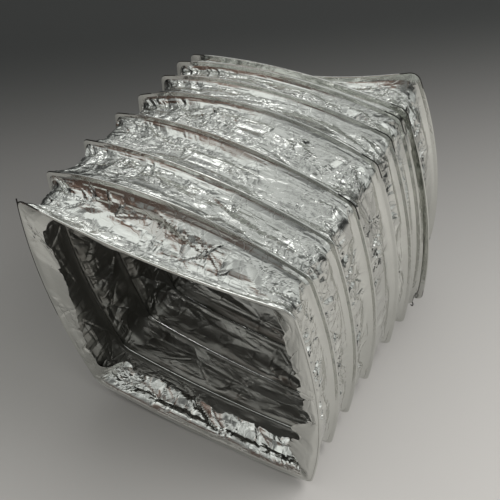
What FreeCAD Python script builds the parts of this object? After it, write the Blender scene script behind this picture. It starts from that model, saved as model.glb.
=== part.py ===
import FreeCAD, Part
import math
import os
from FreeCAD import Placement, Rotation, Vector

# Flexible air duct of square section, as it stands on a table, part stretched.
# Nine turns of spring steel wire carry a sleeve of aluminium foil laminate. The wire bows out
# between four tight bends, and the foil falls in between the turns.
# The origin is the centre of the front mouth, +Y runs back through the duct and +Z is up.

doc = FreeCAD.newDocument("flexible_air_duct")
sheet = doc.addObject("Spreadsheet::Sheet", "Sizes")

# Sizes in millimetres and degrees. The wire, its section and the foil come first.
sizes = {
    "mouth_width": 250.0,
    "mouth_height": 250.0,
    "wire_diameter": 1.3,
    "bend_radius": 9.0,
    "side_bow": 15.0,
    "base_bow": 11.0,
    "foil_thickness": 0.5,
    "foil_gap": 0.3,
    "shoulder_depth": 6.0,
    "shoulder_share": 0.15,
    "shoulder_radius": 14.0,
    "fold_depth": 8.0,
    "fold_radius": 22.0,
    "fold_share": 0.5,
    "hem_width": 15.0,
    "hem_drop": 17.0,
    "rear_hem_width": 3.0,
}

# How the turns stand, from the front mouth to the rear one: the distance to the turn in front,
# the step to the right, the swing about the upright axis, the lean about the cross axis, the
# roll about the duct's own axis, how far the top side bows out (in, where it is negative), and
# how far the section is racked, its top to the left and its base to the right.
turn_sizes = {
    "bay": [0.0, 44.0, 46.5, 49.0, 47.5, 40.0, 31.5, 16.5, 37.5],
    "step": [0.0, 1.5, 3.0, 3.5, 4.0, 3.0, 1.0, 6.0, -7.5],
    "swing": [0.0, -1.0, -3.0, -3.5, 0.5, -1.0, -1.5, -4.5, 2.5],
    "lean": [-0.5, 2.0, 1.5, 1.5, 0.0, -1.0, -1.0, -1.0, 4.5],
    "roll": [3.0, 2.5, 2.0, 1.0, -0.5, -2.0, -2.5, -4.0, -10.5],
    "top_bow": [-11.0, 22.0, 16.0, 19.0, 25.0, 17.0, 15.0, 11.0, -15.5],
    "rack": [25.0, 25.0, 25.0, 25.0, 25.0, 25.0, 25.0, 25.0, 5.0],
}
turn_count = len(turn_sizes["bay"])
for word, values in turn_sizes.items():
    for number, value in enumerate(values, start=1):
        sizes[f"{word}_{number}"] = value
for row, (alias, value) in enumerate(sizes.items(), start=1):
    sheet.set(f"A{row}", alias)
    sheet.set(f"B{row}", str(value))
    sheet.setAlias(f"B{row}", alias)
doc.recompute()

# A bowed side is drawn in this many chords and a bend in this many.
SIDE_CHORDS = 7
BEND_CHORDS = 3
WIRE_FLATS = 6


def size(alias):
    return float(sheet.get(alias))


def side_circles(number):
    """Centre and signed radius of the four sides' circles: top, right, base, left."""
    across = size("mouth_width")
    upright = size("mouth_height")

    def circle(chord, half_depth, bow, direction):
        radius = (chord * chord / 4 + bow * bow) / (2 * bow)
        return direction * (half_depth + bow - radius), radius

    side_bow = size("side_bow")
    return [
        circle(across, upright / 2, size(f"top_bow_{number}"), Vector(0, 0, 1)),
        circle(upright, across / 2, side_bow, Vector(1, 0, 0)),
        circle(across, upright / 2, size("base_bow"), Vector(0, 0, -1)),
        circle(upright, across / 2, side_bow, Vector(-1, 0, 0)),
    ]


def crossing(centre_a, reach_a, centre_b, reach_b, near):
    """The point at both reaches from two centres in the section's plane, nearest to a point."""
    between = centre_b - centre_a
    gap = between.Length
    along = (reach_a**2 - reach_b**2 + gap**2) / (2 * gap)
    aside = math.sqrt(reach_a**2 - along**2)
    direction = between / gap
    normal = Vector(-direction.z, 0, direction.x)
    middle = centre_a + direction * along
    choices = [middle + normal * aside, middle - normal * aside]
    return min(choices, key=lambda point: (point - near).Length)


def arc_points(centre, start, end, chords):
    """Points on the short arc about a centre, from start up to, but not, end."""
    first = start - centre
    last = end - centre
    sweep = first.getAngle(last)
    axis = first.cross(last).normalize()
    return [
        centre + Rotation(axis, math.degrees(sweep) * index / chords).multVec(first)
        for index in range(chords)
    ]


def outline(number, outward, bend_radius):
    """The turn's outline in its own plane, moved outward, with the sides racked to the left."""
    half_width = size("mouth_width") / 2
    half_height = size("mouth_height") / 2
    circles = [(centre, radius + outward) for centre, radius in side_circles(number)]
    radius = bend_radius + outward
    corners = [
        Vector(half_width, 0, half_height),
        Vector(half_width, 0, -half_height),
        Vector(-half_width, 0, -half_height),
        Vector(-half_width, 0, half_height),
    ]
    bends = []
    for index, corner in enumerate(corners):
        centre_a, radius_a = circles[index]
        centre_b, radius_b = circles[(index + 1) % 4]
        middle = crossing(
            centre_a, abs(radius_a - radius), centre_b, abs(radius_b - radius), corner
        )
        start = centre_a + (middle - centre_a).normalize() * abs(radius_a)
        end = centre_b + (middle - centre_b).normalize() * abs(radius_b)
        bends.append((start, middle, end))
    points = []
    for index, (start, middle, end) in enumerate(bends):
        side_start = bends[index - 1][2]
        points += arc_points(circles[index][0], side_start, start, SIDE_CHORDS)
        points += arc_points(middle, start, end, BEND_CHORDS)
    rack = size(f"rack_{number}") / half_height
    return [Vector(point.x - rack * point.z, 0, point.z) for point in points]


# The foil laps over the wire with a small gap, so its outside stands this far from the wire's
# centre line.
wire_radius = size("wire_diameter") / 2
lap_inside = wire_radius + size("foil_gap")
lap_outside = lap_inside + size("foil_thickness")


def turn_rotation(number):
    swing = Rotation(Vector(0, 0, 1), size(f"swing_{number}"))
    lean = Rotation(Vector(1, 0, 0), size(f"lean_{number}"))
    roll = Rotation(Vector(0, 1, 0), size(f"roll_{number}"))
    return swing * lean * roll


def lowest(number):
    """How far the foil lap of a turn reaches below the turn's centre."""
    rotation = turn_rotation(number)
    lap = outline(number, lap_outside, size("bend_radius"))
    heights = [
        rotation.multVec(point + Vector(0, side * lap_outside, 0)).z
        for point in lap
        for side in (-1, 1)
    ]
    return min(heights)


def turn_placements():
    """Each turn stands on the same floor."""
    places = []
    across = 0.0
    back = 0.0
    for number in range(1, turn_count + 1):
        across += size(f"step_{number}")
        back += size(f"bay_{number}")
        rise = lowest(1) - lowest(number)
        places.append(Placement(Vector(across, back, rise), turn_rotation(number)))
    return places


places = turn_placements()


def loop_at(number, back, outward):
    """The outline of a turn, placed in the duct, at a distance behind the wire's plane."""
    place = places[number - 1]
    points = outline(number, outward, size("bend_radius"))
    return [place.multVec(point + Vector(0, back, 0)) for point in points]


def slack_loop(number, back, inward, slack_radius):
    """A loop inside a turn, where the foil cuts the corners in a wider bend."""
    place = places[number - 1]
    points = outline(number, -inward, slack_radius + inward)
    return [place.multVec(point + Vector(0, back, 0)) for point in points]


def bay_loop(number, share, back, inward, slack_radius):
    """A line round the foil at a share of the way from a turn to the next one."""
    near_loop = slack_loop(number, back, inward, slack_radius)
    far_loop = slack_loop(number + 1, back, inward, slack_radius)
    return [near * (1 - share) + far * share for near, far in zip(near_loop, far_loop)]


def shoulder_loop(number, share, back, deeper):
    """The foil's shoulder, where the steep band beside a wire meets the floor of the bay."""
    inward = size("shoulder_depth") + deeper
    return bay_loop(number, share, back, inward, size("shoulder_radius"))


def fold_loop(number, back, deeper):
    """The fold in the middle of a bay."""
    inward = size("fold_depth") + deeper
    return bay_loop(number, size("fold_share"), back, inward, size("fold_radius"))


def panel(corners):
    """A flat panel, or two creased on the diagonal where the four corners aren't in a plane."""
    first, second, third, fourth = corners
    normal = (second - first).cross(third - first)
    if normal.Length > 1e-9 and abs(normal.normalize().dot(fourth - first)) < 1e-7:
        return [Part.Face(Part.makePolygon(corners + [first]))]
    return [
        Part.Face(Part.makePolygon([first, second, third, first])),
        Part.Face(Part.makePolygon([first, third, fourth, first])),
    ]


def ring_solid(loops):
    """A closed ring whose cross-section is the polygon through the loops, in order.

    The creases of both walls run the same way, so the foil keeps its thickness between them.
    """
    faces = []
    for near, far in zip(loops, loops[1:] + loops[:1]):
        for index in range(len(near)):
            following = (index + 1) % len(near)
            corners = [near[index], near[following], far[following], far[index]]
            if far[0].y < near[0].y:
                corners = corners[1:] + corners[:1]
            faces += panel(corners)
    shell = Part.makeShell(faces)
    shell.sewShape()
    solid = Part.makeSolid(shell)
    if solid.Volume < 0:
        solid.reverse()
    return solid


def add_feature(label, shape):
    feature = doc.addObject("Part::Feature", label)
    feature.Label = label
    feature.Shape = shape
    feature.Placement = Placement()
    return feature


# The spring steel wire: one turn is a straight run of wire bent at four corners and closed,
# drawn with six flats. Its sweep starts in the middle of the top side.
def add_wire_turn(number):
    points = outline(number, 0, size("bend_radius"))
    half = SIDE_CHORDS // 2
    start = (points[half] + points[half + 1]) / 2
    path = doc.addObject("Part::Feature", f"wire_path_{number}")
    path.Shape = Part.makePolygon([start] + points[half + 1:] + points[:half + 1] + [start])
    section = doc.addObject("Part::RegularPolygon", f"wire_section_{number}")
    section.Polygon = WIRE_FLATS
    section.setExpression("Circumradius", f"Sizes.wire_diameter / 2 / cos(180deg / {WIRE_FLATS})")
    heading = points[half + 1] - points[half]
    turned = Rotation(Vector(0, 0, 1), heading)
    section.Placement = Placement(start, turned * Rotation(Vector(0, 0, 1), 180 / WIRE_FLATS))
    turn = doc.addObject("Part::Sweep", f"wire_turn_{number}")
    turn.Label = f"wire_turn_{number}"
    turn.Sections = [section]
    turn.Spine = (path, [f"Edge{edge}" for edge in range(1, len(points) + 2)])
    turn.Solid = True
    turn.Frenet = False
    turn.Transition = "Right corner"
    turn.Placement = places[number - 1]
    return turn


parts = [add_wire_turn(number) for number in range(1, turn_count + 1)]


# The front half of a bay: the foil laps over the wire, drops steeply to a shoulder and runs on,
# nearly flat, to the fold in the middle of the bay.
def add_bay_front(number):
    thickness = size("foil_thickness")
    shoulder = size("shoulder_share")
    at_fold = -size("foil_gap") / 2
    loops = [
        loop_at(number, -lap_inside, lap_outside),
        loop_at(number, lap_outside, lap_outside),
        shoulder_loop(number, shoulder, 0, 0),
        fold_loop(number, at_fold, 0),
        fold_loop(number, at_fold, thickness),
        shoulder_loop(number, shoulder, -thickness, thickness),
        loop_at(number, lap_inside, lap_inside),
        loop_at(number, -lap_inside, lap_inside),
    ]
    return add_feature(f"foil_bay_{number}_front", ring_solid(loops))


# The rear half of a bay: the foil runs on from the fold, rises steeply and ends at the next wire.
def add_bay_rear(number):
    thickness = size("foil_thickness")
    shoulder = 1 - size("shoulder_share")
    at_fold = size("foil_gap") / 2
    at_turn = -lap_inside - size("foil_gap")
    loops = [
        fold_loop(number, at_fold, 0),
        shoulder_loop(number, shoulder, 0, 0),
        loop_at(number + 1, at_turn - thickness, lap_outside),
        loop_at(number + 1, at_turn, lap_inside),
        shoulder_loop(number, shoulder, thickness, thickness),
        fold_loop(number, at_fold, thickness),
    ]
    return add_feature(f"foil_bay_{number}_rear", ring_solid(loops))


for number in range(1, turn_count):
    parts.append(add_bay_front(number))
    parts.append(add_bay_rear(number))


# The hems: at each mouth the foil is turned round the end wire and tucked inside.
def add_hem(label, number, side, width):
    thickness = size("foil_thickness")
    face = lap_inside + size("foil_gap")
    drop = size("hem_drop")
    slack = size("fold_radius")
    loops = [
        loop_at(number, side * (face + thickness), -lap_outside),
        slack_loop(number, -side * width, drop + thickness, slack),
        slack_loop(number, -side * width, drop, slack),
        loop_at(number, side * face, -lap_inside),
    ]
    if side < 0:
        lap = [(face, lap_outside), (face + thickness, lap_outside)]
    else:
        lap = [
            (face, lap_inside),
            (-lap_inside, lap_inside),
            (-lap_inside, lap_outside),
            (face + thickness, lap_outside),
        ]
    loops += [loop_at(number, side * back, outward) for back, outward in lap]
    return add_feature(label, ring_solid(loops))


parts.append(add_hem("front_hem", 1, -1, size("hem_width")))
parts.append(add_hem("rear_hem", turn_count, 1, size("rear_hem_width")))
doc.recompute()

for item in doc.Objects:
    if "Invalid" in item.State or "Error" in item.State:
        raise RuntimeError(f"{item.Label} failed: {item.State}")
for part in parts:
    if part.Shape.isNull() or not part.Shape.isValid() or not part.Shape.Solids:
        raise RuntimeError(f"{part.Label} has no valid solid")

os.makedirs("parts", exist_ok=True)
for part in parts:
    part.Shape.exportStep(f"parts/{part.Label}.step")
print(len(parts), "parts")
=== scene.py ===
import math

import bpy
import numpy as np
from mathutils import Matrix, Vector, geometry


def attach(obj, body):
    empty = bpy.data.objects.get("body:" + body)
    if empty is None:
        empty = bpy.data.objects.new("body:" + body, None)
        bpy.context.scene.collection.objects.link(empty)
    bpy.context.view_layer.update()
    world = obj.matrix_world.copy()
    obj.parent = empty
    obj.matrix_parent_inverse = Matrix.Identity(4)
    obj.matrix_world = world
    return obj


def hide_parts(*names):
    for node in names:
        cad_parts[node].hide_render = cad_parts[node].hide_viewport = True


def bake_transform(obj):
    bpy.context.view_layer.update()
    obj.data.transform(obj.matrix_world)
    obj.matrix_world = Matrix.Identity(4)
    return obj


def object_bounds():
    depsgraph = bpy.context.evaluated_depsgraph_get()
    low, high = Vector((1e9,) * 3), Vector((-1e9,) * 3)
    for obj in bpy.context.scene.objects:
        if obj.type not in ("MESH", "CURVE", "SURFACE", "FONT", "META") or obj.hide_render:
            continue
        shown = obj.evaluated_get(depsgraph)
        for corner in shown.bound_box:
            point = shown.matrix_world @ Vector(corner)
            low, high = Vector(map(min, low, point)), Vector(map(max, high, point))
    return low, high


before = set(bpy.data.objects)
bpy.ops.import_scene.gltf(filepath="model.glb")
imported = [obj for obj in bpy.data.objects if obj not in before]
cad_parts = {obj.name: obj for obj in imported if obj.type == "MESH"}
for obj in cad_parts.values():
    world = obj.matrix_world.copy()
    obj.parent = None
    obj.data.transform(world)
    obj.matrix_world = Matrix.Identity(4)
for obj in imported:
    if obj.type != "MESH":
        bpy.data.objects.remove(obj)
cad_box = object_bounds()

# Flexible air duct: a sleeve of foil laminate over nine turns of spring wire.
# Metres, +Y back through the duct, origin at the centre of the front mouth.

# The spring steel wire
# Drawn wire, bent square with four tight bends to a turn, one turn under each rib of the duct. It
# is left dark from drawing, so it shows as a thin black line where the foil leaves it bare.
MM = 0.001
mouth_width = 250 * MM
mouth_height = 250 * MM
wire_radius = 0.65 * MM
bend_radius = 9 * MM
side_bow = 15 * MM
base_bow = 11 * MM

# For each turn: how far it lies behind the one before it and to the right, its own angles in
# degrees, the bow of its top, and how far its top is racked to the left of its middle.
bay_lengths = np.array([0, 44, 46.5, 49, 47.5, 40, 31.5, 16.5, 37.5]) * MM
steps = np.array([0, 1.5, 3, 3.5, 4, 3, 1, 6, -7.5]) * MM
swings = [0, -1, -3, -3.5, 0.5, -1, -1.5, -4.5, 2.5]
leans = [-0.5, 2, 1.5, 1.5, 0, -1, -1, -1, 4.5]
rolls = [3, 2.5, 2, 1, -0.5, -2, -2.5, -4, -10.5]
top_bows = np.array([-11, 22, 16, 19, 25, 17, 15, 11, -15.5]) * MM
racks = np.array([25, 25, 25, 25, 25, 25, 25, 25, 5]) * MM
turn_count = len(rolls)

# How far the foil lapped over a wire reaches from the wire's centre.
lap_reach = 1.45 * MM

SIDE_SAMPLES = 190
BEND_SAMPLES = 42
around = 4 * (SIDE_SAMPLES + BEND_SAMPLES)


def circle_of(chord, half_depth, bow, direction):
    """Centre and signed radius of a bowed side, whose ends are a chord apart."""
    radius = (chord * chord / 4 + bow * bow) / (2 * bow)
    return np.array(direction, float) * (half_depth + bow - radius), radius


def meeting(centre_a, reach_a, centre_b, reach_b, near):
    """The point at both reaches from two centres, nearest to a third point."""
    between = centre_b - centre_a
    gap = np.linalg.norm(between)
    along = (reach_a**2 - reach_b**2 + gap**2) / (2 * gap)
    aside = math.sqrt(reach_a**2 - along**2)
    direction = between / gap
    normal = np.array([-direction[1], direction[0]])
    choices = [centre_a + direction * along + normal * aside * way for way in (1, -1)]
    return min(choices, key=lambda point: np.linalg.norm(point - near))


def arc(centre, start, end, count):
    """Points from start towards end, round a centre."""
    first, last = start - centre, end - centre
    sweep = math.atan2(first[0] * last[1] - first[1] * last[0], first @ last)
    angle = sweep * np.arange(count)[:, None] / count
    square = np.array([-first[1], first[0]])
    return centre + first * np.cos(angle) + square * np.sin(angle)


def outline(turn, outward, radius):
    """A turn's outline in its own plane: top, right, base and left, each with its bend."""
    half_width, half_height = mouth_width / 2, mouth_height / 2
    circles = [
        circle_of(mouth_width, half_height, top_bows[turn], (0, 1)),
        circle_of(mouth_height, half_width, side_bow, (1, 0)),
        circle_of(mouth_width, half_height, base_bow, (0, -1)),
        circle_of(mouth_height, half_width, side_bow, (-1, 0)),
    ]
    circles = [(centre, reach + outward) for centre, reach in circles]
    radius = radius + outward
    corners = [(1, 1), (1, -1), (-1, -1), (-1, 1)]
    bends = []
    for index, (right, up) in enumerate(corners):
        centre_a, reach_a = circles[index]
        centre_b, reach_b = circles[(index + 1) % 4]
        corner = np.array([right * half_width, up * half_height])
        middle = meeting(
            centre_a, abs(reach_a - radius), centre_b, abs(reach_b - radius), corner
        )
        towards_a = (middle - centre_a) / np.linalg.norm(middle - centre_a)
        towards_b = (middle - centre_b) / np.linalg.norm(middle - centre_b)
        bends.append((centre_a + towards_a * abs(reach_a), middle,
                      centre_b + towards_b * abs(reach_b)))
    pieces = []
    for index, (start, middle, end) in enumerate(bends):
        pieces.append(arc(circles[index][0], bends[index - 1][2], start, SIDE_SAMPLES))
        pieces.append(arc(middle, start, end, BEND_SAMPLES))
    flat = np.concatenate(pieces)
    flat[:, 0] -= racks[turn] / half_height * flat[:, 1]
    return flat


def turn_matrix(turn):
    """Swing about Z, lean about X and roll about Y."""
    angles = [(swings, "Z"), (leans, "X"), (rolls, "Y")]
    matrix = Matrix.Identity(3)
    for values, axis in angles:
        matrix = matrix @ Matrix.Rotation(math.radians(values[turn]), 3, axis)
    return np.array(matrix)


def reach_down(turn):
    """Height of the lowest point of a turn's foil lap, from the turn's centre."""
    flat = outline(turn, lap_reach, bend_radius)
    sides = [np.stack([flat[:, 0], np.full(around, side * lap_reach), flat[:, 1]], 1)
             for side in (-1, 1)]
    return (np.concatenate(sides) @ turn_matrix(turn).T)[:, 2].min()


# Every turn stands on the table, as the first one does.
turn_matrices = [turn_matrix(turn) for turn in range(turn_count)]
turn_centres = [
    np.array([steps[:turn + 1].sum(), bay_lengths[:turn + 1].sum(),
              reach_down(0) - reach_down(turn)])
    for turn in range(turn_count)
]


def turn_row(turn, back, outward, radius=bend_radius):
    """A line round a turn. back and outward are one number, or one for each sample."""
    flat = outline(turn, 0.0 if np.ndim(outward) else outward, radius)
    if np.ndim(outward):
        away = outline(turn, MM, radius) - flat
        flat = flat + away / MM * np.asarray(outward)[:, None]
    local = np.stack([flat[:, 0], np.zeros(around) + back, flat[:, 1]], 1)
    return turn_centres[turn] + local @ turn_matrices[turn].T


def linear(code):
    """An sRGB hex colour as linear RGBA."""
    parts = [int(code[index:index + 2], 16) / 255 for index in (1, 3, 5)]
    return [part / 12.92 if part <= 0.04045 else ((part + 0.055) / 1.055)**2.4
            for part in parts] + [1.0]


def add_node(tree, kind, inputs=(), **settings):
    """Add a shader node. An input takes a number, a colour or the socket that feeds it."""
    node = tree.nodes.new(kind)
    for name, value in settings.items():
        setattr(node, name, value)
    for name, value in dict(inputs).items():
        if isinstance(value, bpy.types.NodeSocket):
            tree.links.new(value, node.inputs[name])
        else:
            node.inputs[name].default_value = value
    return node


def new_material(name):
    """An empty material, its tree and its surface shader."""
    material = bpy.data.materials.new(name)
    material.use_nodes = True
    tree = material.node_tree
    return material, tree, tree.nodes["Principled BSDF"]


def mesh_object(name, points, faces, material, smooth_shaded=True):
    """A mesh of one material, in the scene."""
    mesh = bpy.data.meshes.new(name)
    mesh.from_pydata(points.tolist(), [], faces)
    mesh.polygons.foreach_set("use_smooth", np.full(len(mesh.polygons), smooth_shaded))
    mesh.materials.append(material)
    mesh.update()
    piece = bpy.data.objects.new(name, mesh)
    bpy.context.scene.collection.objects.link(piece)
    return piece


# Drawn spring steel: dark oxide on grey metal, with a fine grain that breaks its highlight. The
# grain is drawn at 0.4 mm, coarser than the real one, so that it shows.
steel, tree, shader = new_material("drawn_spring_steel")
grain_width = 0.4 * MM
where = add_node(tree, "ShaderNodeTexCoord").outputs["Object"]
grain = add_node(tree, "ShaderNodeTexNoise", {"Vector": where, "Scale": 1 / grain_width,
                                              "Detail": 3.0})
tone = add_node(tree, "ShaderNodeMixRGB", {"Fac": grain.outputs["Fac"],
                                           "Color1": linear("#1B1A19"),
                                           "Color2": linear("#45423E")})
shader.inputs["Metallic"].default_value = 1.0
shader.inputs["Roughness"].default_value = 0.36
tree.links.new(tone.outputs["Color"], shader.inputs["Base Color"])

WIRE_SIDES = 10


def wire_mesh(line, radius, across, closed):
    """Points and faces of round wire along a line. across is a direction the line never takes."""
    heading = np.gradient(line, axis=0)
    if closed:
        heading = np.roll(line, -1, 0) - np.roll(line, 1, 0)
    heading /= np.linalg.norm(heading, axis=1)[:, None]
    side = np.cross(heading, across)
    side /= np.linalg.norm(side, axis=1)[:, None]
    other = np.cross(side, heading)
    angles = 2 * np.pi * np.arange(WIRE_SIDES) / WIRE_SIDES
    rings = (side[:, None] * np.cos(angles)[:, None] + other[:, None] * np.sin(angles)[:, None])
    points = (line[:, None] + radius * rings).reshape(-1, 3)
    count = len(line)
    here, turned = np.meshgrid(np.arange(count if closed else count - 1),
                               np.arange(WIRE_SIDES), indexing="ij")
    following, beside = (here + 1) % count, (turned + 1) % WIRE_SIDES
    corners = [(here, turned), (here, beside), (following, beside), (following, turned)]
    faces = np.stack([a * WIRE_SIDES + b for a, b in corners], -1).reshape(-1, 4).tolist()
    if not closed:
        first = list(range(WIRE_SIDES))[::-1]
        last = [(count - 1) * WIRE_SIDES + index for index in range(WIRE_SIDES)]
        faces += [first, last]
    return points, faces


for turn in range(turn_count):
    number = turn + 1
    points, faces = wire_mesh(turn_row(turn, 0, 0.0), wire_radius, (0, 1, 0), closed=True)
    wire = mesh_object(f"spring_wire_{number}", points, faces, steel)
    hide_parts(f"wire_turn_{number}")
    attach(wire, f"turn_{number}")


def wire_end(name, number, line):
    """A loose end of wire that rides with a turn."""
    points, faces = wire_mesh(line, wire_radius, (0, 1, 0), closed=False)
    end = mesh_object(name, points, faces, steel)
    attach(end, f"turn_{number}")


# The front end runs on straight past its corner, and the rear one is curled into an eye.
front_end_length = 8 * MM
front_row = turn_row(0, 0, 0.0)
left_end = front_row[around - BEND_SAMPLES]
straight_on = left_end - front_row[around - BEND_SAMPLES - 4]
straight_on /= np.linalg.norm(straight_on)
share = np.linspace(0, 1, 12)[:, None]
wire_end("spring_wire_front_end", 1, left_end + straight_on * front_end_length * share)

eye_turn = 6
eye_radius = 2.4 * MM
eye_sweep = np.radians(290)
eye_row = turn_row(eye_turn, 0, 0.0)

# It starts in the middle of the lower right bend and curls out of it and back.
eye_start = eye_row[2 * (SIDE_SAMPLES + BEND_SAMPLES) - BEND_SAMPLES // 2]
eye_back = turn_matrices[eye_turn][:, 1]
eye_out = turn_matrices[eye_turn] @ np.array([0.7, 0, -0.7])
angle = np.linspace(0, eye_sweep, 26)[:, None]
curl = eye_out * (1 - np.cos(angle)) + eye_back * np.sin(angle)
wire_end("spring_wire_rear_eye", eye_turn + 1, eye_start + curl * eye_radius)

# The foil strips of the bays
# Aluminium foil laminate, two plies glued over the wire. Each strip laps over a wire as a smooth
# bead, drops steeply beside it and lies crumpled between the turns, in flat creased facets.
foil_thickness = 0.18 * MM
grid_step = 1.15 * MM

# The bead round a wire, from below its front to below its rear, in degrees above the way back.
# Where the foil is split it lies inside the wire.
bead_radius = 1.0 * MM
bare_bead_radius = 0.3 * MM
bead_angles = np.radians([328, 296, 264, 232, 204, 178, 152, 126, 100, 74, 48, 22, -8])

# The section between two wires: its depth at the fold, how steeply it drops at the front and the
# rear wire, and the radius of its bends, which is larger the deeper the foil lies.
fold_depth = 8 * MM
front_power, rear_power = 3.2, 6.0
slack_depths = np.array([0, 6, 8]) * MM
slack_radii = np.array([9, 14, 22]) * MM

# Where the section starts behind the front wire, and where its rear edge is tucked under the bead
# of the next one: how far back and out of that wire's centre.
section_start = 1.5 * MM
tuck_back, tuck_out = -1.0 * MM, 0.2 * MM

# The bends where the foil is split and the wire is bare, for each turn: 0 is the top right one and
# 3 the top left. On the first turn the foil has also slipped off down the upper left side.
bare_bends = {1: (3,), 2: (3,), 3: (3,), 4: (0, 3), 5: (0, 2, 3), 6: (0, 2, 3), 7: (0, 1, 2, 3),
              8: (0, 1, 2, 3), 9: (0, 1, 2)}
bare_half_length = 23 * MM
slipped_half_length = 75 * MM

# The foil closes over the wire between these shares of the half length.
bare_to, covered_from = 0.6, 1.3

# The creased facets: how wide they are across the sheet, how many times longer they are round the
# duct, and how far they and their folds stand up. Large ones cover the whole sheet, broken and
# small ones lie where it is crushed, and streaks run with the wires.
sheet_facet, sheet_stretch, sheet_height, sheet_fold = 25 * MM, 1.7, 3.8 * MM, 0.9 * MM
broken_facet, broken_stretch, broken_height, broken_fold = 10 * MM, 1.6, 2.0 * MM, 0.7 * MM
small_facet, small_stretch, small_height = 4.5 * MM, 1.2, 0.8 * MM
streak_width, streak_stretch, streak_height = 5 * MM, 5, 0.7 * MM
fold_half_width = 1.7 * MM
sliver_area = 1e-14

# The sheet is crushed in patches of this size, where a wide creased field rises between these two
# heights, and at the bends. Elsewhere this share of the broken facets is left, and down the sides
# this share of the streaks.
crushed_patch, crushed_stretch = 32 * MM, 1.4
crushed_from, crushed_to, crushed_at_bends = -0.15, 0.35, 0.8
least_broken, least_streaks = 0.12, 0.35

# The short gathers square to the wires. Behind the front wire they rise over the two lengths and
# fade over two shares of the section, and on the top and the base they come and go in waves.
gather_width, gather_stretch, gather_height = 15 * MM, 0.34, 1.7 * MM
gather_rise, gather_fade = (0.5 * MM, 3 * MM), (0.5, 0.75)
gather_waves, gather_wave = 9, 40 * MM
loose_middle, loose_swing, loose_share = 0.35, 0.9, 0.4

# Ahead of the rear wire they lie only about the top left bend.
bend_gather_height, bend_gather_reach = 1.5 * MM, 70 * MM
bend_gather_rise, bend_gather_fade = (1.5 * MM, 4 * MM), (9 * MM, 18 * MM)

# The fine strain lines beside the wires rise and fade at these distances from a wire. Behind the
# front wire the distances are drawn out, so that the smooth band there counts as strain_band.
strain_width, strain_stretch, strain_height = 2.8 * MM, 12, 0.38 * MM
strain_band, strain_rise, strain_fade = 11 * MM, (0.8 * MM, 2.5 * MM), (8 * MM, 13 * MM)

# The foil bulges at the bends, and no crease stands out further than the last of these.
bend_spread = 26 * MM
bend_bulge = 1.2 * MM
most_lift = 3.2 * MM

# The foil is held smooth beside the wires. Behind the front one it comes loose from this share of
# the band to the whole of it, and the first bay has a wider band. Ahead of the rear one it does so
# between two distances. Held foil keeps a small share of its crumpling, or half of it at the bends,
# and none at the section's edges.
first_smooth_band, smooth_band, loose_from = 20 * MM, 9 * MM, 0.2
rear_smooth_band = (4 * MM, 12 * MM)
least_loose, loose_at_bends = 0.1, 0.5
edge_band = 2 * MM

# Each bay draws its own creases.
first_seed, seed_step = 140, 100

# A side counts in full up to the first of these from its middle, and not at all past the second.
side_end, past_bend = 95 * MM, 135 * MM

middle_row = turn_row(turn_count // 2, 0, -fold_depth, fold_depth + slack_radii[-1])
spacing = np.linalg.norm(np.roll(middle_row, -1, 0) - middle_row, axis=1)
girth = spacing.sum()
along = np.cumsum(spacing) - spacing
bend_middles = [
    along[(index + 1) * (SIDE_SAMPLES + BEND_SAMPLES) - BEND_SAMPLES // 2] for index in range(4)
]


def round_distance(place):
    """Distance of every sample round the duct from a place, the shorter way."""
    away = np.abs(along - place)
    return np.minimum(away, girth - away)


def smooth(value, low, high):
    """0 up to low, 1 from high on, and a smooth rise between them."""
    share = np.clip((value - low) / (high - low), 0, 1)
    return share * share * (3 - 2 * share)


def side_weight(index):
    """1 in the middle of a side and 0 past its bends: top, right, base and left."""
    width = SIDE_SAMPLES + BEND_SAMPLES
    middle = along[(index * width + SIDE_SAMPLES // 2) % around]
    return 1 - smooth(round_distance(middle), side_end, past_bend)


top, right, base, left = [side_weight(index) for index in range(4)]
near_bend = sum(np.exp(-(round_distance(place) / bend_spread)**2) for place in bend_middles)


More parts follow.
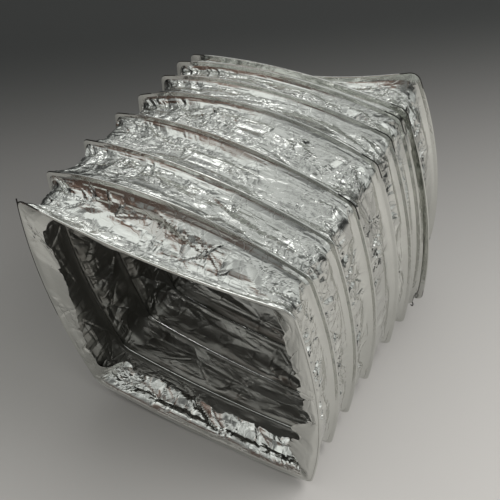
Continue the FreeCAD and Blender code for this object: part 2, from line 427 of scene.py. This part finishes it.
def creased(across, spacing, stretch, seed):
    """A sheet creased in flat facets between random points: its heights from -1 to 1, and the
    folds from 0 to 1 that stand up along some of its creases. spacing is the facets' width across
    the sheet, and stretch how many times longer they are round the duct."""
    rng = np.random.default_rng(seed)
    columns = max(5, round(girth / spacing / stretch))
    rows = math.ceil(across.max() / spacing) + 3
    total = columns * rows
    points_x = rng.uniform(0, girth, total)
    points_y = rng.uniform(-1.5, rows - 1.5, total) * spacing
    point_heights = rng.uniform(-1, 1, total)
    names = np.arange(total)

    # The points near the start and the end come again a girth away, so that the sheet closes.
    margin = 4 * spacing * stretch
    before, after = points_x > girth - margin, points_x < margin
    points_x = np.concatenate([points_x, points_x[before] - girth, points_x[after] + girth])
    points_y = np.concatenate([points_y, points_y[before], points_y[after]])
    point_heights = np.concatenate([point_heights, point_heights[before], point_heights[after]])
    names = np.concatenate([names, names[before], names[after]])
    flat = [Vector((x / stretch, y)) for x, y in zip(points_x, points_y)]
    facets = geometry.delaunay_2d_cdt(flat, [], [], 0, 1e-9)[2]
    heights = np.zeros((around, len(across)))
    folds = np.zeros((around, len(across)))
    fold_heights = {}
    for facet in facets:
        index = list(facet)
        x, y, high = points_x[index], points_y[index], point_heights[index]
        first, last = np.searchsorted(along, [x.min(), x.max()])
        low, top_row = np.searchsorted(across, [y.min(), y.max()])
        twice_area = (y[1] - y[2]) * (x[0] - x[2]) + (x[2] - x[1]) * (y[0] - y[2])
        if first == last or low == top_row or abs(twice_area) < sliver_area:
            continue

        # The shares of the three corners in each sample, all above 0 inside the facet.
        away_x = along[first:last, None] - x[2]
        away_y = across[None, low:top_row] - y[2]
        one = ((y[1] - y[2]) * away_x + (x[2] - x[1]) * away_y) / twice_area
        two = ((y[2] - y[0]) * away_x + (x[0] - x[2]) * away_y) / twice_area
        three = 1 - one - two
        inside = (one >= 0) & (two >= 0) & (three >= 0)
        fold = np.zeros(inside.shape)
        for share, a, b in ((one, 1, 2), (two, 2, 0), (three, 0, 1)):
            edge = tuple(sorted((names[index[a]], names[index[b]])))
            if edge not in fold_heights:
                fold_heights[edge] = max(0, rng.uniform(-0.7, 1))
            apart = share * abs(twice_area) / math.hypot(x[a] - x[b], y[a] - y[b])
            fold = np.maximum(fold, fold_heights[edge] * (1 - apart / fold_half_width))
        height = one * high[0] + two * high[1] + three * high[2]
        heights[first:last, low:top_row][inside] = height[inside]
        folds[first:last, low:top_row][inside] = fold[inside]
    return heights, folds


def wander(seed, waves, shortest):
    """A smooth random line round the duct, mostly between -1 and 1."""
    rng = np.random.default_rng(seed)
    turns = rng.integers(1, max(2, round(girth / shortest)), waves)
    phase = rng.uniform(0, 2 * np.pi, waves)
    weight = rng.uniform(0.4, 1, waves)
    angle = 2 * np.pi * along[:, None] / girth * turns + phase
    return (np.sin(angle) * weight).sum(1) / weight.sum() * 1.6


def crumple(across, seed):
    """How far the foil stands out of its smooth form, before the wires hold it down."""
    crushed = creased(across, crushed_patch, crushed_stretch, seed + 9)[0]
    crushed = smooth(crushed, crushed_from, crushed_to)
    crushed = np.clip(crushed + crushed_at_bends * near_bend[:, None], 0, 1)
    sheet, sheet_folds = creased(across, sheet_facet, sheet_stretch, seed)
    broken, broken_folds = creased(across, broken_facet, broken_stretch, seed + 1)
    small = creased(across, small_facet, small_stretch, seed + 2)[0]
    streaks = creased(across, streak_width, streak_stretch, seed + 4)[0]
    streaks = streaks * (least_streaks + (1 - least_streaks) * (top + base))[:, None]
    broken_share = least_broken + (1 - least_broken) * crushed
    return (sheet * sheet_height + sheet_folds * sheet_fold
            + (broken * broken_height + broken_folds * broken_fold) * broken_share
            + small * small_height * crushed**2
            + streaks * streak_height)


def gathers(across, seed):
    """Short folds square to the wires, where the foil is gathered on them."""
    folds = creased(across, gather_width, gather_stretch, seed + 6)[0]
    total = across[-1]
    left_over = total - across
    fade_from, fade_to = gather_fade
    fading = smooth(across, fade_from * total, fade_to * total)
    behind = smooth(across, *gather_rise) * (1 - fading)
    ahead = smooth(left_over, *bend_gather_rise) * (1 - smooth(left_over, *bend_gather_fade))
    from_left_bend = round_distance(bend_middles[3]) / bend_gather_reach
    at_left_bend = np.exp(-from_left_bend**2)[:, None]
    loose = loose_middle + loose_swing * wander(seed + 7, gather_waves, gather_wave)
    loose = np.clip(loose, 0, 1)[:, None]
    sides = (right + left)[:, None]
    behind_share = sides + (1 - sides) * loose * loose_share
    return folds * (behind * behind_share * gather_height
                    + ahead * at_left_bend * bend_gather_height)


def strain_lines(across, seed, reach):
    """Fine straight folds beside the wires, where the foil is pulled over them. reach is how far
    the smooth band behind the front wire goes."""
    edge = np.minimum(across * strain_band / reach, across[-1] - across)
    band = smooth(edge, *strain_rise) * (1 - smooth(edge, *strain_fade))
    return creased(across, strain_width, strain_stretch, seed + 14)[0] * band * strain_height


def grid_normals(grid):
    """Outward normals of a grid of points that closes round the duct."""
    round_way = np.roll(grid, -1, 0) - np.roll(grid, 1, 0)
    back_way = np.gradient(grid, axis=1)
    normals = np.cross(round_way, back_way)
    return normals / np.maximum(np.linalg.norm(normals, axis=2), 1e-12)[..., None]


def foil_shell(name, grid, normals, outside_finish, inside_finish):
    """A closed sheet of foil: the grid is its outside, and the inside lies a thickness below."""
    count, rows = grid.shape[:2]
    total = count * rows
    outer = grid.reshape(-1, 3)
    inner = (grid - normals * foil_thickness).reshape(-1, 3)
    sample, row = np.meshgrid(np.arange(count), np.arange(rows - 1), indexing="ij")
    here, beside = sample * rows + row, (sample + 1) % count * rows + row
    outside = np.stack([here, beside, beside + 1, here + 1], -1).reshape(-1, 4)
    inside = outside[:, ::-1] + total
    edge = np.arange(count) * rows
    beyond = np.roll(edge, -1)
    first = np.stack([beyond, edge, edge + total, beyond + total], -1)
    last = np.stack([edge, beyond, beyond + total, edge + total], -1) + rows - 1
    points = np.concatenate([outer, inner])
    faces = np.concatenate([outside, inside, first, last]).tolist()
    piece = mesh_object(name, points, faces, outside_finish, smooth_shaded=False)
    piece.data.materials.append(inside_finish)
    finish = np.zeros(len(faces), int)
    finish[len(outside):2 * len(outside)] = 1
    piece.data.polygons.foreach_set("material_index", finish)
    return piece


def foil_finish(name, light_tone, dark_tone, least_rough, most_rough):
    """Rolled foil: bare metal clouded by handling, with sharp crease lines pressed into it.
    Handling dulls it in clouds about 30 mm wide, and the pressed lines lie about 11 mm apart."""
    cloud_width = 30 * MM
    drift_width = 25 * MM
    line_spacing = 11 * MM
    line_depth = 0.25 * MM
    material, tree, shader = new_material(name)
    where = add_node(tree, "ShaderNodeTexCoord").outputs["Object"]
    clouds = add_node(tree, "ShaderNodeTexNoise", {"Vector": where, "Scale": 1 / cloud_width,
                                                   "Detail": 4.0})
    haze = add_node(tree, "ShaderNodeMapRange", {
        "Value": clouds.outputs["Fac"], "From Min": 0.3, "From Max": 0.7,
        "To Min": least_rough, "To Max": most_rough})
    tone = add_node(tree, "ShaderNodeMixRGB", {"Fac": clouds.outputs["Fac"],
                                               "Color1": linear(light_tone),
                                               "Color2": linear(dark_tone)})
    bent = add_node(tree, "ShaderNodeTexNoise", {"Vector": where, "Scale": 1 / drift_width,
                                                 "Detail": 2.0})
    shifted = add_node(tree, "ShaderNodeMixRGB", {"Fac": 0.02, "Color1": where,
                                                  "Color2": bent.outputs["Color"]})
    cells = add_node(tree, "ShaderNodeTexVoronoi", {"Vector": shifted.outputs["Color"],
                                                    "Scale": 1 / line_spacing},
                     feature="DISTANCE_TO_EDGE")
    line = add_node(tree, "ShaderNodeMapRange", {"Value": cells.outputs["Distance"],
                                                 "From Min": 0.0, "From Max": 0.07})
    pressed = add_node(tree, "ShaderNodeBump", {"Height": line.outputs["Result"],
                                                "Strength": 0.2, "Distance": line_depth})
    shader.inputs["Metallic"].default_value = 1.0
    tree.links.new(haze.outputs["Result"], shader.inputs["Roughness"])
    tree.links.new(tone.outputs["Color"], shader.inputs["Base Color"])
    tree.links.new(pressed.outputs["Normal"], shader.inputs["Normal"])
    return material


# Aluminium foil: bright and nearly mirror-like outside, greyer and duller on the glued inside.
foil = foil_finish("aluminium_foil_outside", "#D9DAD6", "#C8C9C4", 0.08, 0.2)
foil_inside = foil_finish("aluminium_foil_glued_side", "#A09F9A", "#898781", 0.32, 0.46)


def section_depth(share):
    """Depth of the foil below its wires, at a share of the way from one turn to the next."""
    power = np.where(np.asarray(share) < 0.5, front_power, rear_power)
    return fold_depth * (1 - np.abs(2 * share - 1)**power)


def section_shares(gap, first):
    """Shares of the way at even steps along the section, the middle one exactly a half."""
    share = np.linspace(first, 0.5, 400)
    halves = []
    for way in (share, 1 - share):
        length = np.cumsum(np.hypot(np.diff(way * gap), np.diff(section_depth(way))))
        length = np.concatenate([[0], length])
        count = max(6, math.ceil(length[-1] / grid_step))
        halves.append(np.interp(np.linspace(0, length[-1], count), length, way))
    return np.concatenate([halves[0], halves[1][-2::-1]]), len(halves[0]) - 1


def bare_share(turn):
    """1 where the foil is split and the wire shows, and 0 elsewhere."""
    places = [(bend_middles[index], bare_half_length) for index in bare_bends[turn + 1]]
    if turn == 0:
        places.append((bend_middles[3] - slipped_half_length, slipped_half_length))
    share = np.zeros(around)
    for place, half_length in places:
        share = np.maximum(share, 1 - smooth(
            round_distance(place), half_length * bare_to, half_length * covered_from))
    return share


def bead_rows(turn, angles):
    """The foil over a wire, from its front lower edge to its rear one."""
    held = bead_radius - (bead_radius - bare_bead_radius) * bare_share(turn)
    return [turn_row(turn, held * math.cos(angle), held * math.sin(angle)) for angle in angles]


def bay_grid(turn):
    """The outside of one bay's foil, from wire to wire, and the row of its fold."""
    gap = np.linalg.norm(turn_row(turn + 1, 0, 0.0) - turn_row(turn, 0, 0.0), axis=1)
    mean_gap = gap.mean()
    shares, fold = section_shares(mean_gap, section_start / mean_gap)
    depths = section_depth(shares)
    slack = depths + np.interp(depths, slack_depths, slack_radii)
    rows = []
    for share, depth, radius in zip(shares, depths, slack):
        near_row = turn_row(turn, 0, -depth, radius)
        far_row = turn_row(turn + 1, 0, -depth, radius)
        rows.append(near_row + (far_row - near_row) * share)
    bead = bead_rows(turn, bead_angles)
    tuck = turn_row(turn + 1, tuck_back, np.full(around, tuck_out))
    grid = np.stack(bead + rows + [tuck], 1)
    points = np.stack([shares * mean_gap, depths], 1)
    across = np.concatenate([[0], np.cumsum(np.linalg.norm(np.diff(points, axis=0), axis=1))])
    seed = first_seed + seed_step * turn
    total = across[-1]
    reach = first_smooth_band if turn == 0 else smooth_band
    loose = smooth(across, loose_from * reach, reach)
    loose = loose * smooth(total - across, *rear_smooth_band)
    loose = least_loose + (1 - least_loose) * loose
    loose = np.maximum(loose, loose_at_bends * near_bend[:, None])
    ends = smooth(across, 0, edge_band) * smooth(total - across, 0, edge_band)
    lift = ((crumple(across, seed) * loose + near_bend[:, None] * bend_bulge) * ends
            + gathers(across, seed) + strain_lines(across, seed, reach))
    lift = np.clip(lift, -most_lift, most_lift)
    normals = grid_normals(grid)
    start = len(bead)
    grid[:, start:start + len(shares)] += normals[:, start:start + len(shares)] * lift[..., None]
    return grid, start + fold


# In the fifth bay the two strips aren't glued at the fold. The rear one is cut longer, lies under
# the front one there and slides on it as the duct bends.
lapped_bay = 5
lap_shares = np.linspace(0.12, 0.47, 10)
lap_drop = 4.2 * MM

# These bays are listed apart, but their rear strips are baked in place just as every other strip
# that doesn't lap.
from_wire_to_fold = {6}


def lap_rows(turn):
    """The end of a rear strip that lies inside the front one, up to the fold."""
    depth = fold_depth + lap_drop
    near_row = turn_row(turn, 0, -depth, bend_radius + slack_radii[-1])
    far_row = turn_row(turn + 1, 0, -depth, bend_radius + slack_radii[-1])
    return np.stack([near_row + (far_row - near_row) * share for share in lap_shares], 1)


for turn in range(turn_count - 1):
    grid, fold = bay_grid(turn)
    normals = grid_normals(grid)
    number = turn + 1
    halves = [("front", slice(0, fold + 1), turn, 1, f"turn_{number}", f"fold_{number}"),
              ("rear", slice(fold, None), turn + 1, -1, f"fold_{number}", f"turn_{number + 1}")]
    for end, rows, wire_turn, way, first_body, last_body in halves:
        sheet, sheet_normals = grid[:, rows], normals[:, rows]
        lapped = number == lapped_bay and end == "rear"
        if lapped:
            lap = lap_rows(turn)
            sheet = np.concatenate([lap, sheet], 1)
            sheet_normals = np.concatenate([grid_normals(lap), sheet_normals], 1)
        strip = foil_shell(f"foil_strip_{number}_{end}", sheet, sheet_normals, foil, foil_inside)
        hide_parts(f"foil_bay_{number}_{end}")
        if lapped:
            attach(strip, last_body)
            continue
        if way > 0:
            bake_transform(strip)
        elif number in from_wire_to_fold:
            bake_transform(strip)
        else:
            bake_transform(strip)

# The hems at the two mouths
# The foil's own edge, turned round the end wire and pushed back inside the duct. It is not
# trimmed, so its inner edge is torn and the strip is crumpled.
HEM_ROWS = 26
hem_bead_radius, bare_hem_radius = 0.85 * MM, 0.3 * MM
front_bead_angles = np.radians([172, 196, 220, 244])
rear_bead_angles = np.concatenate([bead_angles, np.radians([-34, -60])])

# How far the hem reaches in, in millimetres: on the top and the base, down the right side and up
# the left one, at places along them that are measured from their middles.
top_reach, base_reach = 14, 31
right_places, right_reaches = [-125, -40, 15, 40, 100, 130], [18, 16, 12, 27, 28, 20]
left_places, left_reaches = [-125, -60, 0, 60, 110], [15, 17, 24, 27, 20]

# The tears of its inner edge, in millimetres, on the top, right, base and left: long waves, fine
# nicks and notches. Then how many waves and nicks there are and the shortest of them, and how the
# notches lie: their line across a creased sheet, its facets, and between which heights they open.
wave_heights, nick_heights, notch_depths = (2, 4, 3, 2), (1, 0.9, 1.6, 1), (1, 5, 3, 3)
hem_waves, shortest_wave = 14, 30 * MM
hem_nicks, shortest_nick = 60, 6 * MM
notch_line, notch_facet, notch_stretch = 5 * MM, 9 * MM, 0.8
notch_from, notch_to = 0.2, 0.5

# How far the hem lies back along the foil, from 0 across the mouth to 1 along the duct, and the
# share of the foil's crumpling that it has, on the same four sides. It starts at a quarter of that
# angle and has all of it half way in.
front_lies_back, rear_lies_back = (0.6, 0.02, 0.62, 0.12), (0.12, 0.12, 0.12, 0.12)
hem_crumpling = (0.4, 0.8, 0.85, 0.6)
first_turned, turned_more = 0.25, 1.5

# The width that its creases are drawn for, and where they rise: later on the base.
creased_width = 25 * MM
hem_crumple_rise, base_crumple_rise = (0.5 * MM, 6 * MM), (3 * MM, 9 * MM)

# Where the hem leaves the wire, in from its centre and back along the duct, and the radius of its
# bends at steps of its width.
leaves_in, leaves_back = 0.9 * MM, -0.6 * MM
hem_steps, hem_radii = [0, 6, 20], [9, 14, 24]


def by_side(on_top, on_right, on_base, on_left):
    """One number for each sample, from a number for each side of the duct."""
    weight = top + right + base + left
    value = top * on_top + right * on_right + base * on_base + left * on_left
    return value / weight


def hem_rows(turn, side, seed):
    """Rows of a hem, from under the wire to its torn inner edge. side is 1 at the front mouth."""
    torn = by_side(*wave_heights) * wander(seed, hem_waves, shortest_wave)
    torn = torn + by_side(*nick_heights) * wander(seed + 1, hem_nicks, shortest_nick)
    notches = creased(np.array([notch_line]), notch_facet, notch_stretch, seed + 2)[0][:, 0]
    torn = torn - by_side(*notch_depths) * smooth(notches, notch_from, notch_to)
    down_right = along - along[SIDE_SAMPLES + BEND_SAMPLES + SIDE_SAMPLES // 2]
    up_left = along - along[3 * (SIDE_SAMPLES + BEND_SAMPLES) + SIDE_SAMPLES // 2]
    right_reach = np.interp(down_right / MM, right_places, right_reaches)
    left_reach = np.interp(up_left / MM, left_places, left_reaches)
    reach = (by_side(top_reach, right_reach, base_reach, left_reach) + torn) * MM
    lie_back = by_side(*(front_lies_back if side > 0 else rear_lies_back))
    rows = []
    for index in range(HEM_ROWS):
        share = index / (HEM_ROWS - 1)
        angle = lie_back * np.pi / 2 * min(1, first_turned + turned_more * share)
        inward = leaves_in + reach * share * np.cos(angle)
        back = leaves_back + reach * share * np.sin(angle)
        slack = np.interp(share * hem_steps[-1], hem_steps, hem_radii) * MM
        flat_reach = inward.mean()
        rows.append(turn_row(turn, side * back, -inward, slack + flat_reach))
    return rows


def hem_grid(turn, side, seed):
    """The outside of a hem: over the wire, and in from it. The front one starts under the bead of
    the first bay, and the rear one is the last turn's own bead."""
    if side > 0:
        held = hem_bead_radius - (hem_bead_radius - bare_hem_radius) * bare_share(turn)
        rows = [turn_row(turn, held * math.cos(angle), held * math.sin(angle))
                for angle in front_bead_angles]
    else:
        rows = bead_rows(turn, rear_bead_angles)
    start = len(rows)
    rows += hem_rows(turn, side, seed)
    grid = np.stack(rows, 1)
    count = grid.shape[1] - start
    across = np.linspace(0, creased_width, count)
    lift = crumple(across, seed + 10) * by_side(*hem_crumpling)[:, None]
    smooth_on_base = base[:, None] * (1 - smooth(across, *base_crumple_rise))
    share = smooth(across, *hem_crumple_rise) * (1 - smooth_on_base)
    normals = grid_normals(grid)
    grid[:, start:] += normals[:, start:] * (lift * share)[..., None]
    return grid


for turn, side, name, seed in ((0, 1, "front_hem", 31), (turn_count - 1, -1, "rear_hem", 57)):
    grid = hem_grid(turn, side, seed)
    hem = foil_shell(f"foil_{name}", grid, grid_normals(grid), foil, foil)
    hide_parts(name)
    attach(hem, f"turn_{turn + 1}")

# The floor and the light
# A pale matt table top with painted shade that darkens it towards its far left, a broad lamp at the
# right behind the duct, and a room whose ceiling is bright and whose front is dark.
floor_size = 6.0
floor_height = cad_box[0][2] - 0.5 * MM
# Painted shade: the table top's colour fades from pale grey to near black towards its far left,
# standing in for the lamp's light falling off there.
painted_shade_way = (-0.588, 0.809, 0.0)
painted_shade_start, painted_shade_end = -0.4, 0.82
table_top, tree, shader = new_material("matt_table_top_painted_shade")
where = add_node(tree, "ShaderNodeTexCoord").outputs["Object"]
apart = add_node(tree, "ShaderNodeVectorMath", {0: where, 1: painted_shade_way},
                 operation="DOT_PRODUCT")
painted_shade = add_node(tree, "ShaderNodeMapRange", {"Value": apart.outputs["Value"],
                                             "From Min": painted_shade_start, "From Max": painted_shade_end},
                interpolation_type="SMOOTHSTEP")
tone = add_node(tree, "ShaderNodeMixRGB", {"Fac": painted_shade.outputs["Result"],
                                           "Color1": linear("#D0CCC8"),
                                           "Color2": linear("#272827")})
shader.inputs["Roughness"].default_value = 0.7
tree.links.new(tone.outputs["Color"], shader.inputs["Base Color"])
half = floor_size / 2
floor_points = np.array([[-half, -half, 0], [half, -half, 0], [half, half, 0], [-half, half, 0]])
floor = mesh_object("table_top", floor_points + [0, 0, floor_height], [[0, 1, 2, 3]], table_top)


def area_light(name, place, target, width, height, power):
    """A white rectangular lamp in watts, turned to a target."""
    light = bpy.data.lights.new(name, "AREA")
    light.shape = "RECTANGLE"
    light.size, light.size_y = width, height
    light.energy = power
    lamp = bpy.data.objects.new(name, light)
    lamp.location = place
    lamp.rotation_euler = (Vector(target) - Vector(place)).to_track_quat("-Z", "Y").to_euler()
    bpy.context.scene.collection.objects.link(lamp)
    return lamp


middle_point = (0.01, 0.16, 0.0)
lamp = area_light("lamp_right_behind", (1.05, 0.85, 1.35), middle_point, 1.4, 1.1, 23)
lamp.visible_glossy = False

# Two narrow lamps that the foil mirrors as thin bright lines.
for side, place, power in ((1, (0.75, 1.5, 1.15), 1.4), (-1, (-0.7, 1.2, 1.35), 1.2)):
    area_light(f"strip_lamp_{side}", place, middle_point, 1.3, 0.12, power)

world = bpy.data.worlds.new("room")
bpy.context.scene.world = world
world.use_nodes = True
tree = world.node_tree
way_out = add_node(tree, "ShaderNodeTexCoord").outputs["Generated"]


def toward(direction, low, high, at_low, at_high):
    """A smooth change from one value to another, for walls of the room nearer to a direction."""
    facing = add_node(tree, "ShaderNodeVectorMath", {0: way_out, 1: direction},
                      operation="DOT_PRODUCT")
    ramp = add_node(tree, "ShaderNodeMapRange", {
        "Value": facing.outputs["Value"], "From Min": low, "From Max": high,
        "To Min": at_low, "To Max": at_high}, interpolation_type="SMOOTHSTEP")
    return ramp.outputs["Result"]


def times(first, second):
    """Two values multiplied."""
    return add_node(tree, "ShaderNodeMath", {0: first, 1: second},
                    operation="MULTIPLY").outputs["Value"]


# Bright above and behind, dim in front and low down, and broken into patches, so that the creased
# foil has both light and dark to mirror.
ceiling = toward((0.15, 0.45, 0.88), -0.3, 0.8, 0.1, 0.82)
dim_front = toward((0.1, -0.95, -0.1), 0.15, 0.75, 1.0, 0.22)
dim_low = toward((0.0, 0.0, 1.0), 0.1, 0.42, 0.25, 1.0)
patches = add_node(tree, "ShaderNodeTexNoise", {"Vector": way_out, "Scale": 3.2, "Detail": 3.0})
patched = add_node(tree, "ShaderNodeMapRange", {"Value": patches.outputs["Fac"],
                                                "From Min": 0.43, "From Max": 0.55,
                                                "To Min": 0.22, "To Max": 1.0},
                   interpolation_type="SMOOTHSTEP")
strength = times(times(times(ceiling, dim_front), dim_low), patched.outputs["Result"])

# Three pale walls: in front at the left, at the right, and overhead at the left.
for wall, low, high, level in (((-0.35, -0.9, 0.3), 0.75, 0.97, 0.26),
                               ((0.82, -0.25, 0.51), 0.65, 0.96, 0.5),
                               ((-0.43, -0.43, 0.79), 0.82, 0.99, 0.5)):
    glow = toward(wall, low, high, 0.0, level)
    strength = add_node(tree, "ShaderNodeMath", {0: strength, 1: glow},
                        operation="ADD").outputs["Value"]

# Brown patches low at the left front, which the ribs mirror.
clouds = add_node(tree, "ShaderNodeTexNoise", {"Vector": way_out, "Scale": 4.5, "Detail": 3.0})
brown = add_node(tree, "ShaderNodeMapRange", {"Value": clouds.outputs["Fac"],
                                              "From Min": 0.39, "From Max": 0.47},
                 interpolation_type="SMOOTHSTEP")
warm = times(toward((-0.58, -0.79, 0.18), 0.78, 0.93, 0.0, 0.9), brown.outputs["Result"])
room_tone = add_node(tree, "ShaderNodeMixRGB", {"Fac": warm, "Color1": linear("#F8FBF9"),
                                                "Color2": linear("#977463")})
background = tree.nodes["Background"]
tree.links.new(room_tone.outputs["Color"], background.inputs["Color"])
tree.links.new(strength, background.inputs["Strength"])

# The camera
# It stands where the photo was taken from, in front at the right and well above the duct, and
# looks back, down and to the left. Its focal length is in pixels of a square picture.
picture_side = 500
focal_pixels = 690
sensor_width = 36.0
camera_place = (0.20596, -0.29864, 0.52795)
azimuth, elevation, tilt = math.radians(24.29), math.radians(47.34), math.radians(1.155)
ahead = Vector((-math.sin(azimuth) * math.cos(elevation), math.cos(azimuth) * math.cos(elevation),
                -math.sin(elevation)))
level = ahead.cross(Vector((0, 0, 1))).normalized()
upright = level.cross(ahead)
camera_right = math.cos(tilt) * level + math.sin(tilt) * upright
camera_up = -math.sin(tilt) * level + math.cos(tilt) * upright
camera_data = bpy.data.cameras.new("camera")
camera_data.sensor_width = sensor_width
camera_data.lens = focal_pixels / picture_side * sensor_width
camera = bpy.data.objects.new("camera", camera_data)
facing = Matrix((camera_right, camera_up, -ahead)).transposed().to_4x4()
camera.matrix_world = Matrix.Translation(camera_place) @ facing
bpy.context.scene.collection.objects.link(camera)
bpy.context.scene.camera = camera
bpy.context.scene.view_settings.view_transform = "Standard"
